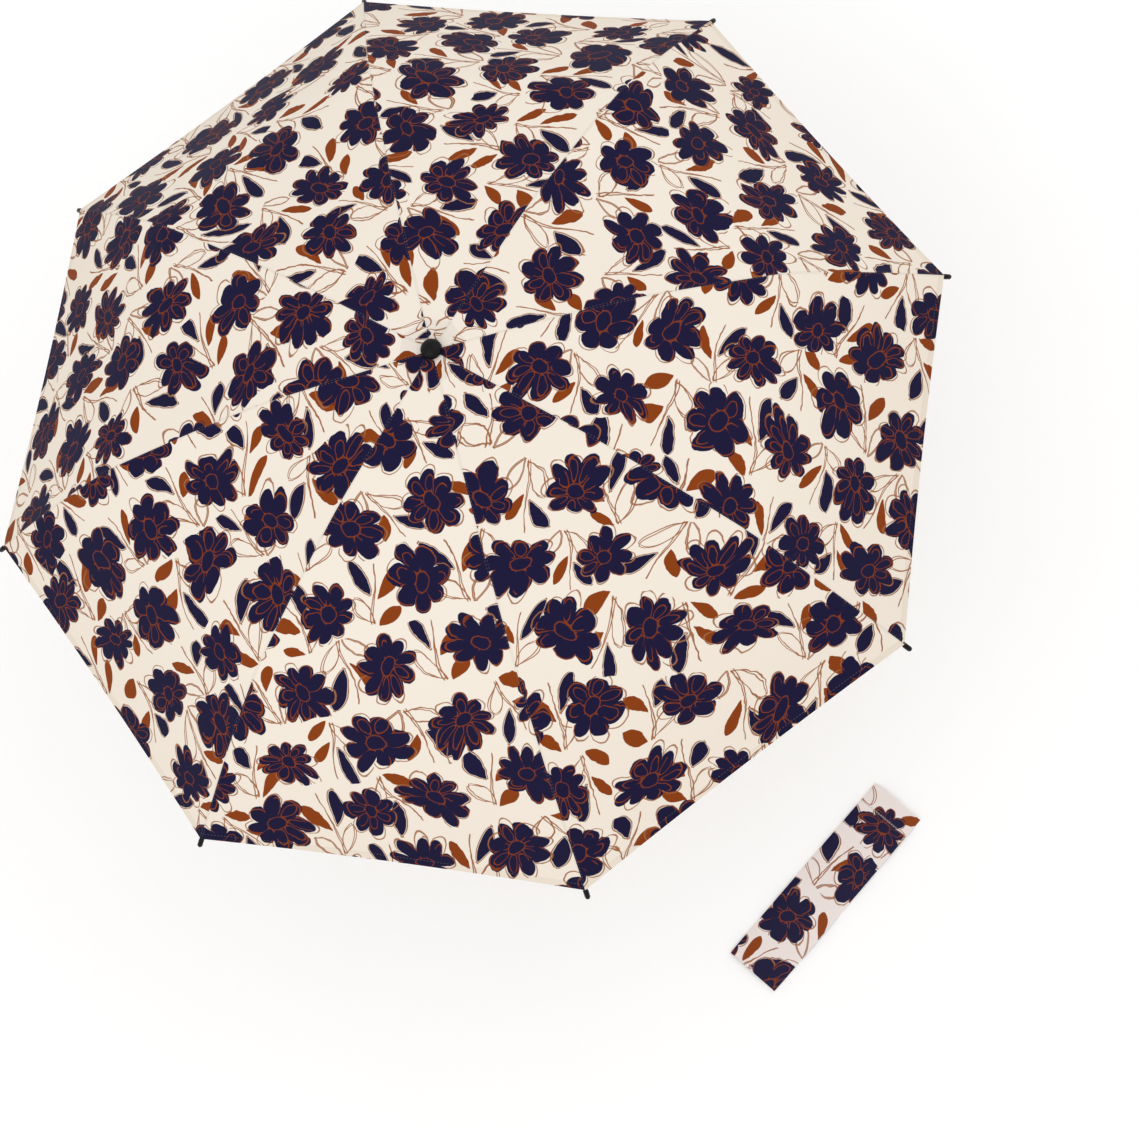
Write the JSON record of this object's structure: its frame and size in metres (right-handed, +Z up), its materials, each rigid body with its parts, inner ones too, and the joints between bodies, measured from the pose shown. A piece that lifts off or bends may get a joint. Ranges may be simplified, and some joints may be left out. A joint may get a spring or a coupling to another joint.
{
  "type": "folding umbrella",
  "caption": "Three-fold pocket umbrella, open, with eight jointed ribs, a telescoping shaft, a flared black handle and a floral canopy.",
  "frame": {"origin": "centre of the handle's flat end", "axes": "+Z up the shaft to the finial; the first rib points along +X; the push button faces -Y"},
  "size_m": [0.9712, 1.0602, 0.5862],
  "materials": {
    "soft_black": "soft-touch matt black",
    "black_plastic": "moulded satin black",
    "gloss_black": "moulded black",
    "brushed_silver": "brushed along its length",
    "spring_steel": "drawn wire",
    "silver_tube": "satin",
    "black_tube": "black coated",
    "black_rib": "black coated",
    "glass_fibre": "drawn glass fibre",
    "canopy_fabric": "cream polyester pongee with a navy and rust floral print",
    "sleeve_fabric": "the canopy fabric, doubled at the hem"
  },
  "bodies": {
    "handle": {"handle_shell": "soft_black", "handle_end_cap": "black_plastic", "accent_strip": "brushed_silver", "button_spring": "spring_steel", "lower_tube": "silver_tube", "carrying_sleeve": "sleeve_fabric"},
    "button": {"push_button": "black_plastic"},
    "middle_section": {"middle_tube": "silver_tube"},
    "upper_section": {"upper_tube": "black_tube", "crown": "black_plastic", "finial": "gloss_black", "canopy_panel_1": "canopy_fabric", "canopy_panel_2": "canopy_fabric", "canopy_panel_3": "canopy_fabric", "canopy_panel_4": "canopy_fabric", "canopy_panel_5": "canopy_fabric", "canopy_panel_6": "canopy_fabric", "canopy_panel_7": "canopy_fabric", "canopy_panel_8": "canopy_fabric"},
    "runner": {"runner": "black_plastic"},
    "top_rib_1": {"top_rib_1": "black_rib"},
    "stretcher_1": {"stretcher_1": "black_rib"},
    "middle_rib_1": {"middle_rib_1": "black_rib"},
    "outer_rib_1": {"outer_rib_1": "glass_fibre", "rib_tip_1": "gloss_black"},
    "top_rib_2": {"top_rib_2": "black_rib"},
    "stretcher_2": {"stretcher_2": "black_rib"},
    "middle_rib_2": {"middle_rib_2": "black_rib"},
    "outer_rib_2": {"outer_rib_2": "glass_fibre", "rib_tip_2": "gloss_black"},
    "top_rib_3": {"top_rib_3": "black_rib"},
    "stretcher_3": {"stretcher_3": "black_rib"},
    "middle_rib_3": {"middle_rib_3": "black_rib"},
    "outer_rib_3": {"outer_rib_3": "glass_fibre", "rib_tip_3": "gloss_black"},
    "top_rib_4": {"top_rib_4": "black_rib"},
    "stretcher_4": {"stretcher_4": "black_rib"},
    "middle_rib_4": {"middle_rib_4": "black_rib"},
    "outer_rib_4": {"outer_rib_4": "glass_fibre", "rib_tip_4": "gloss_black"},
    "top_rib_5": {"top_rib_5": "black_rib"},
    "stretcher_5": {"stretcher_5": "black_rib"},
    "middle_rib_5": {"middle_rib_5": "black_rib"},
    "outer_rib_5": {"outer_rib_5": "glass_fibre", "rib_tip_5": "gloss_black"},
    "top_rib_6": {"top_rib_6": "black_rib"},
    "stretcher_6": {"stretcher_6": "black_rib"},
    "middle_rib_6": {"middle_rib_6": "black_rib"},
    "outer_rib_6": {"outer_rib_6": "glass_fibre", "rib_tip_6": "gloss_black"},
    "top_rib_7": {"top_rib_7": "black_rib"},
    "stretcher_7": {"stretcher_7": "black_rib"},
    "middle_rib_7": {"middle_rib_7": "black_rib"},
    "outer_rib_7": {"outer_rib_7": "glass_fibre", "rib_tip_7": "gloss_black"},
    "top_rib_8": {"top_rib_8": "black_rib"},
    "stretcher_8": {"stretcher_8": "black_rib"},
    "middle_rib_8": {"middle_rib_8": "black_rib"},
    "outer_rib_8": {"outer_rib_8": "glass_fibre", "rib_tip_8": "gloss_black"}
  },
  "joints": [
    {"name": "button_press", "type": "slide", "parent": "handle", "child": "button", "axis": [0, 1, 0], "range_m": [0, 0.0018], "stiffness_N_per_m": 400, "springref_m": -0.001, "deforming": ["button_spring"]},
    {"name": "middle_slide", "type": "slide", "parent": "handle", "child": "middle_section", "axis": [0, 0, 1], "range_m": [-0.15, 0]},
    {"name": "upper_slide", "type": "slide", "parent": "middle_section", "child": "upper_section", "axis": [0, 0, 1], "range_m": [-0.15, 0]},
    {"name": "canopy_fold", "type": "slide", "parent": "upper_section", "child": "runner", "axis": [0, 0, 1], "range_m": [-0.10033, 0], "deforming": ["canopy_panel_1", "canopy_panel_2", "canopy_panel_3", "canopy_panel_4", "canopy_panel_5", "canopy_panel_6", "canopy_panel_7", "canopy_panel_8"]},
    {"name": "top_rib_hinge_1", "type": "hinge", "parent": "upper_section", "child": "top_rib_1", "pos_m": [0.0135, 0, 0.57223], "axis": [0, 1, 0], "range_deg": [0, 86.1]},
    {"name": "stretcher_hinge_1", "type": "hinge", "parent": "top_rib_1", "child": "stretcher_1", "pos_m": [0.08818, 0, 0.56504], "axis": [0, 1, 0], "range_deg": [-132.89, 0]},
    {"name": "middle_rib_hinge_1", "type": "hinge", "parent": "top_rib_1", "child": "middle_rib_1", "pos_m": [0.17014, 0, 0.56155], "axis": [0, 1, 0], "range_deg": [-190.54, 0]},
    {"name": "outer_rib_hinge_1", "type": "hinge", "parent": "middle_rib_1", "child": "outer_rib_1", "pos_m": [0.31817, 0, 0.51911], "axis": [0, 1, 0], "range_deg": [0, 159.24]},
    {"name": "top_rib_hinge_2", "type": "hinge", "parent": "upper_section", "child": "top_rib_2", "pos_m": [0.00955, 0.00955, 0.57223], "axis": [-0.7071, 0.7071, 0], "range_deg": [0, 86.1]},
    {"name": "stretcher_hinge_2", "type": "hinge", "parent": "top_rib_2", "child": "stretcher_2", "pos_m": [0.06236, 0.06236, 0.56504], "axis": [-0.7071, 0.7071, 0], "range_deg": [-132.89, 0]},
    {"name": "middle_rib_hinge_2", "type": "hinge", "parent": "top_rib_2", "child": "middle_rib_2", "pos_m": [0.1203, 0.1203, 0.56155], "axis": [-0.7071, 0.7071, 0], "range_deg": [-190.54, 0]},
    {"name": "outer_rib_hinge_2", "type": "hinge", "parent": "middle_rib_2", "child": "outer_rib_2", "pos_m": [0.22498, 0.22498, 0.51911], "axis": [-0.7071, 0.7071, 0], "range_deg": [0, 159.24]},
    {"name": "top_rib_hinge_3", "type": "hinge", "parent": "upper_section", "child": "top_rib_3", "pos_m": [0, 0.0135, 0.57223], "axis": [-1, 0, 0], "range_deg": [0, 86.1]},
    {"name": "stretcher_hinge_3", "type": "hinge", "parent": "top_rib_3", "child": "stretcher_3", "pos_m": [0, 0.08818, 0.56504], "axis": [-1, 0, 0], "range_deg": [-132.89, 0]},
    {"name": "middle_rib_hinge_3", "type": "hinge", "parent": "top_rib_3", "child": "middle_rib_3", "pos_m": [0, 0.17014, 0.56155], "axis": [-1, 0, 0], "range_deg": [-190.54, 0]},
    {"name": "outer_rib_hinge_3", "type": "hinge", "parent": "middle_rib_3", "child": "outer_rib_3", "pos_m": [0, 0.31817, 0.51911], "axis": [-1, 0, 0], "range_deg": [0, 159.24]},
    {"name": "top_rib_hinge_4", "type": "hinge", "parent": "upper_section", "child": "top_rib_4", "pos_m": [-0.00955, 0.00955, 0.57223], "axis": [-0.7071, -0.7071, 0], "range_deg": [0, 86.1]},
    {"name": "stretcher_hinge_4", "type": "hinge", "parent": "top_rib_4", "child": "stretcher_4", "pos_m": [-0.06236, 0.06236, 0.56504], "axis": [-0.7071, -0.7071, 0], "range_deg": [-132.89, 0]},
    {"name": "middle_rib_hinge_4", "type": "hinge", "parent": "top_rib_4", "child": "middle_rib_4", "pos_m": [-0.1203, 0.1203, 0.56155], "axis": [-0.7071, -0.7071, 0], "range_deg": [-190.54, 0]},
    {"name": "outer_rib_hinge_4", "type": "hinge", "parent": "middle_rib_4", "child": "outer_rib_4", "pos_m": [-0.22498, 0.22498, 0.51911], "axis": [-0.7071, -0.7071, 0], "range_deg": [0, 159.24]},
    {"name": "top_rib_hinge_5", "type": "hinge", "parent": "upper_section", "child": "top_rib_5", "pos_m": [-0.0135, 0, 0.57223], "axis": [0, -1, 0], "range_deg": [0, 86.1]},
    {"name": "stretcher_hinge_5", "type": "hinge", "parent": "top_rib_5", "child": "stretcher_5", "pos_m": [-0.08818, 0, 0.56504], "axis": [0, -1, 0], "range_deg": [-132.89, 0]},
    {"name": "middle_rib_hinge_5", "type": "hinge", "parent": "top_rib_5", "child": "middle_rib_5", "pos_m": [-0.17014, 0, 0.56155], "axis": [0, -1, 0], "range_deg": [-190.54, 0]},
    {"name": "outer_rib_hinge_5", "type": "hinge", "parent": "middle_rib_5", "child": "outer_rib_5", "pos_m": [-0.31817, 0, 0.51911], "axis": [0, -1, 0], "range_deg": [0, 159.24]},
    {"name": "top_rib_hinge_6", "type": "hinge", "parent": "upper_section", "child": "top_rib_6", "pos_m": [-0.00955, -0.00955, 0.57223], "axis": [0.7071, -0.7071, 0], "range_deg": [0, 86.1]},
    {"name": "stretcher_hinge_6", "type": "hinge", "parent": "top_rib_6", "child": "stretcher_6", "pos_m": [-0.06236, -0.06236, 0.56504], "axis": [0.7071, -0.7071, 0], "range_deg": [-132.89, 0]},
    {"name": "middle_rib_hinge_6", "type": "hinge", "parent": "top_rib_6", "child": "middle_rib_6", "pos_m": [-0.1203, -0.1203, 0.56155], "axis": [0.7071, -0.7071, 0], "range_deg": [-190.54, 0]},
    {"name": "outer_rib_hinge_6", "type": "hinge", "parent": "middle_rib_6", "child": "outer_rib_6", "pos_m": [-0.22498, -0.22498, 0.51911], "axis": [0.7071, -0.7071, 0], "range_deg": [0, 159.24]},
    {"name": "top_rib_hinge_7", "type": "hinge", "parent": "upper_section", "child": "top_rib_7", "pos_m": [0, -0.0135, 0.57223], "axis": [1, 0, 0], "range_deg": [0, 86.1]},
    {"name": "stretcher_hinge_7", "type": "hinge", "parent": "top_rib_7", "child": "stretcher_7", "pos_m": [0, -0.08818, 0.56504], "axis": [1, 0, 0], "range_deg": [-132.89, 0]},
    {"name": "middle_rib_hinge_7", "type": "hinge", "parent": "top_rib_7", "child": "middle_rib_7", "pos_m": [0, -0.17014, 0.56155], "axis": [1, 0, 0], "range_deg": [-190.54, 0]},
    {"name": "outer_rib_hinge_7", "type": "hinge", "parent": "middle_rib_7", "child": "outer_rib_7", "pos_m": [0, -0.31817, 0.51911], "axis": [1, 0, 0], "range_deg": [0, 159.24]},
    {"name": "top_rib_hinge_8", "type": "hinge", "parent": "upper_section", "child": "top_rib_8", "pos_m": [0.00955, -0.00955, 0.57223], "axis": [0.7071, 0.7071, 0], "range_deg": [0, 86.1]},
    {"name": "stretcher_hinge_8", "type": "hinge", "parent": "top_rib_8", "child": "stretcher_8", "pos_m": [0.06236, -0.06236, 0.56504], "axis": [0.7071, 0.7071, 0], "range_deg": [-132.89, 0]},
    {"name": "middle_rib_hinge_8", "type": "hinge", "parent": "top_rib_8", "child": "middle_rib_8", "pos_m": [0.1203, -0.1203, 0.56155], "axis": [0.7071, 0.7071, 0], "range_deg": [-190.54, 0]},
    {"name": "outer_rib_hinge_8", "type": "hinge", "parent": "middle_rib_8", "child": "outer_rib_8", "pos_m": [0.22498, -0.22498, 0.51911], "axis": [0.7071, 0.7071, 0], "range_deg": [0, 159.24]}
  ],
  "couplings": [
    {"joint": "upper_slide", "follows": "middle_slide", "ratio": 1},
    {"joint": "top_rib_hinge_1", "follows": "canopy_fold", "rad_per_m": -14.978},
    {"joint": "stretcher_hinge_1", "follows": "canopy_fold", "rad_per_m": 23.118},
    {"joint": "middle_rib_hinge_1", "follows": "canopy_fold", "rad_per_m": 33.146},
    {"joint": "outer_rib_hinge_1", "follows": "canopy_fold", "rad_per_m": -27.701},
    {"joint": "top_rib_hinge_2", "follows": "canopy_fold", "rad_per_m": -14.978},
    {"joint": "stretcher_hinge_2", "follows": "canopy_fold", "rad_per_m": 23.118},
    {"joint": "middle_rib_hinge_2", "follows": "canopy_fold", "rad_per_m": 33.146},
    {"joint": "outer_rib_hinge_2", "follows": "canopy_fold", "rad_per_m": -27.701},
    {"joint": "top_rib_hinge_3", "follows": "canopy_fold", "rad_per_m": -14.978},
    {"joint": "stretcher_hinge_3", "follows": "canopy_fold", "rad_per_m": 23.118},
    {"joint": "middle_rib_hinge_3", "follows": "canopy_fold", "rad_per_m": 33.146},
    {"joint": "outer_rib_hinge_3", "follows": "canopy_fold", "rad_per_m": -27.701},
    {"joint": "top_rib_hinge_4", "follows": "canopy_fold", "rad_per_m": -14.978},
    {"joint": "stretcher_hinge_4", "follows": "canopy_fold", "rad_per_m": 23.118},
    {"joint": "middle_rib_hinge_4", "follows": "canopy_fold", "rad_per_m": 33.146},
    {"joint": "outer_rib_hinge_4", "follows": "canopy_fold", "rad_per_m": -27.701},
    {"joint": "top_rib_hinge_5", "follows": "canopy_fold", "rad_per_m": -14.978},
    {"joint": "stretcher_hinge_5", "follows": "canopy_fold", "rad_per_m": 23.118},
    {"joint": "middle_rib_hinge_5", "follows": "canopy_fold", "rad_per_m": 33.146},
    {"joint": "outer_rib_hinge_5", "follows": "canopy_fold", "rad_per_m": -27.701},
    {"joint": "top_rib_hinge_6", "follows": "canopy_fold", "rad_per_m": -14.978},
    {"joint": "stretcher_hinge_6", "follows": "canopy_fold", "rad_per_m": 23.118},
    {"joint": "middle_rib_hinge_6", "follows": "canopy_fold", "rad_per_m": 33.146},
    {"joint": "outer_rib_hinge_6", "follows": "canopy_fold", "rad_per_m": -27.701},
    {"joint": "top_rib_hinge_7", "follows": "canopy_fold", "rad_per_m": -14.978},
    {"joint": "stretcher_hinge_7", "follows": "canopy_fold", "rad_per_m": 23.118},
    {"joint": "middle_rib_hinge_7", "follows": "canopy_fold", "rad_per_m": 33.146},
    {"joint": "outer_rib_hinge_7", "follows": "canopy_fold", "rad_per_m": -27.701},
    {"joint": "top_rib_hinge_8", "follows": "canopy_fold", "rad_per_m": -14.978},
    {"joint": "stretcher_hinge_8", "follows": "canopy_fold", "rad_per_m": 23.118},
    {"joint": "middle_rib_hinge_8", "follows": "canopy_fold", "rad_per_m": 33.146},
    {"joint": "outer_rib_hinge_8", "follows": "canopy_fold", "rad_per_m": -27.701}
  ]
}
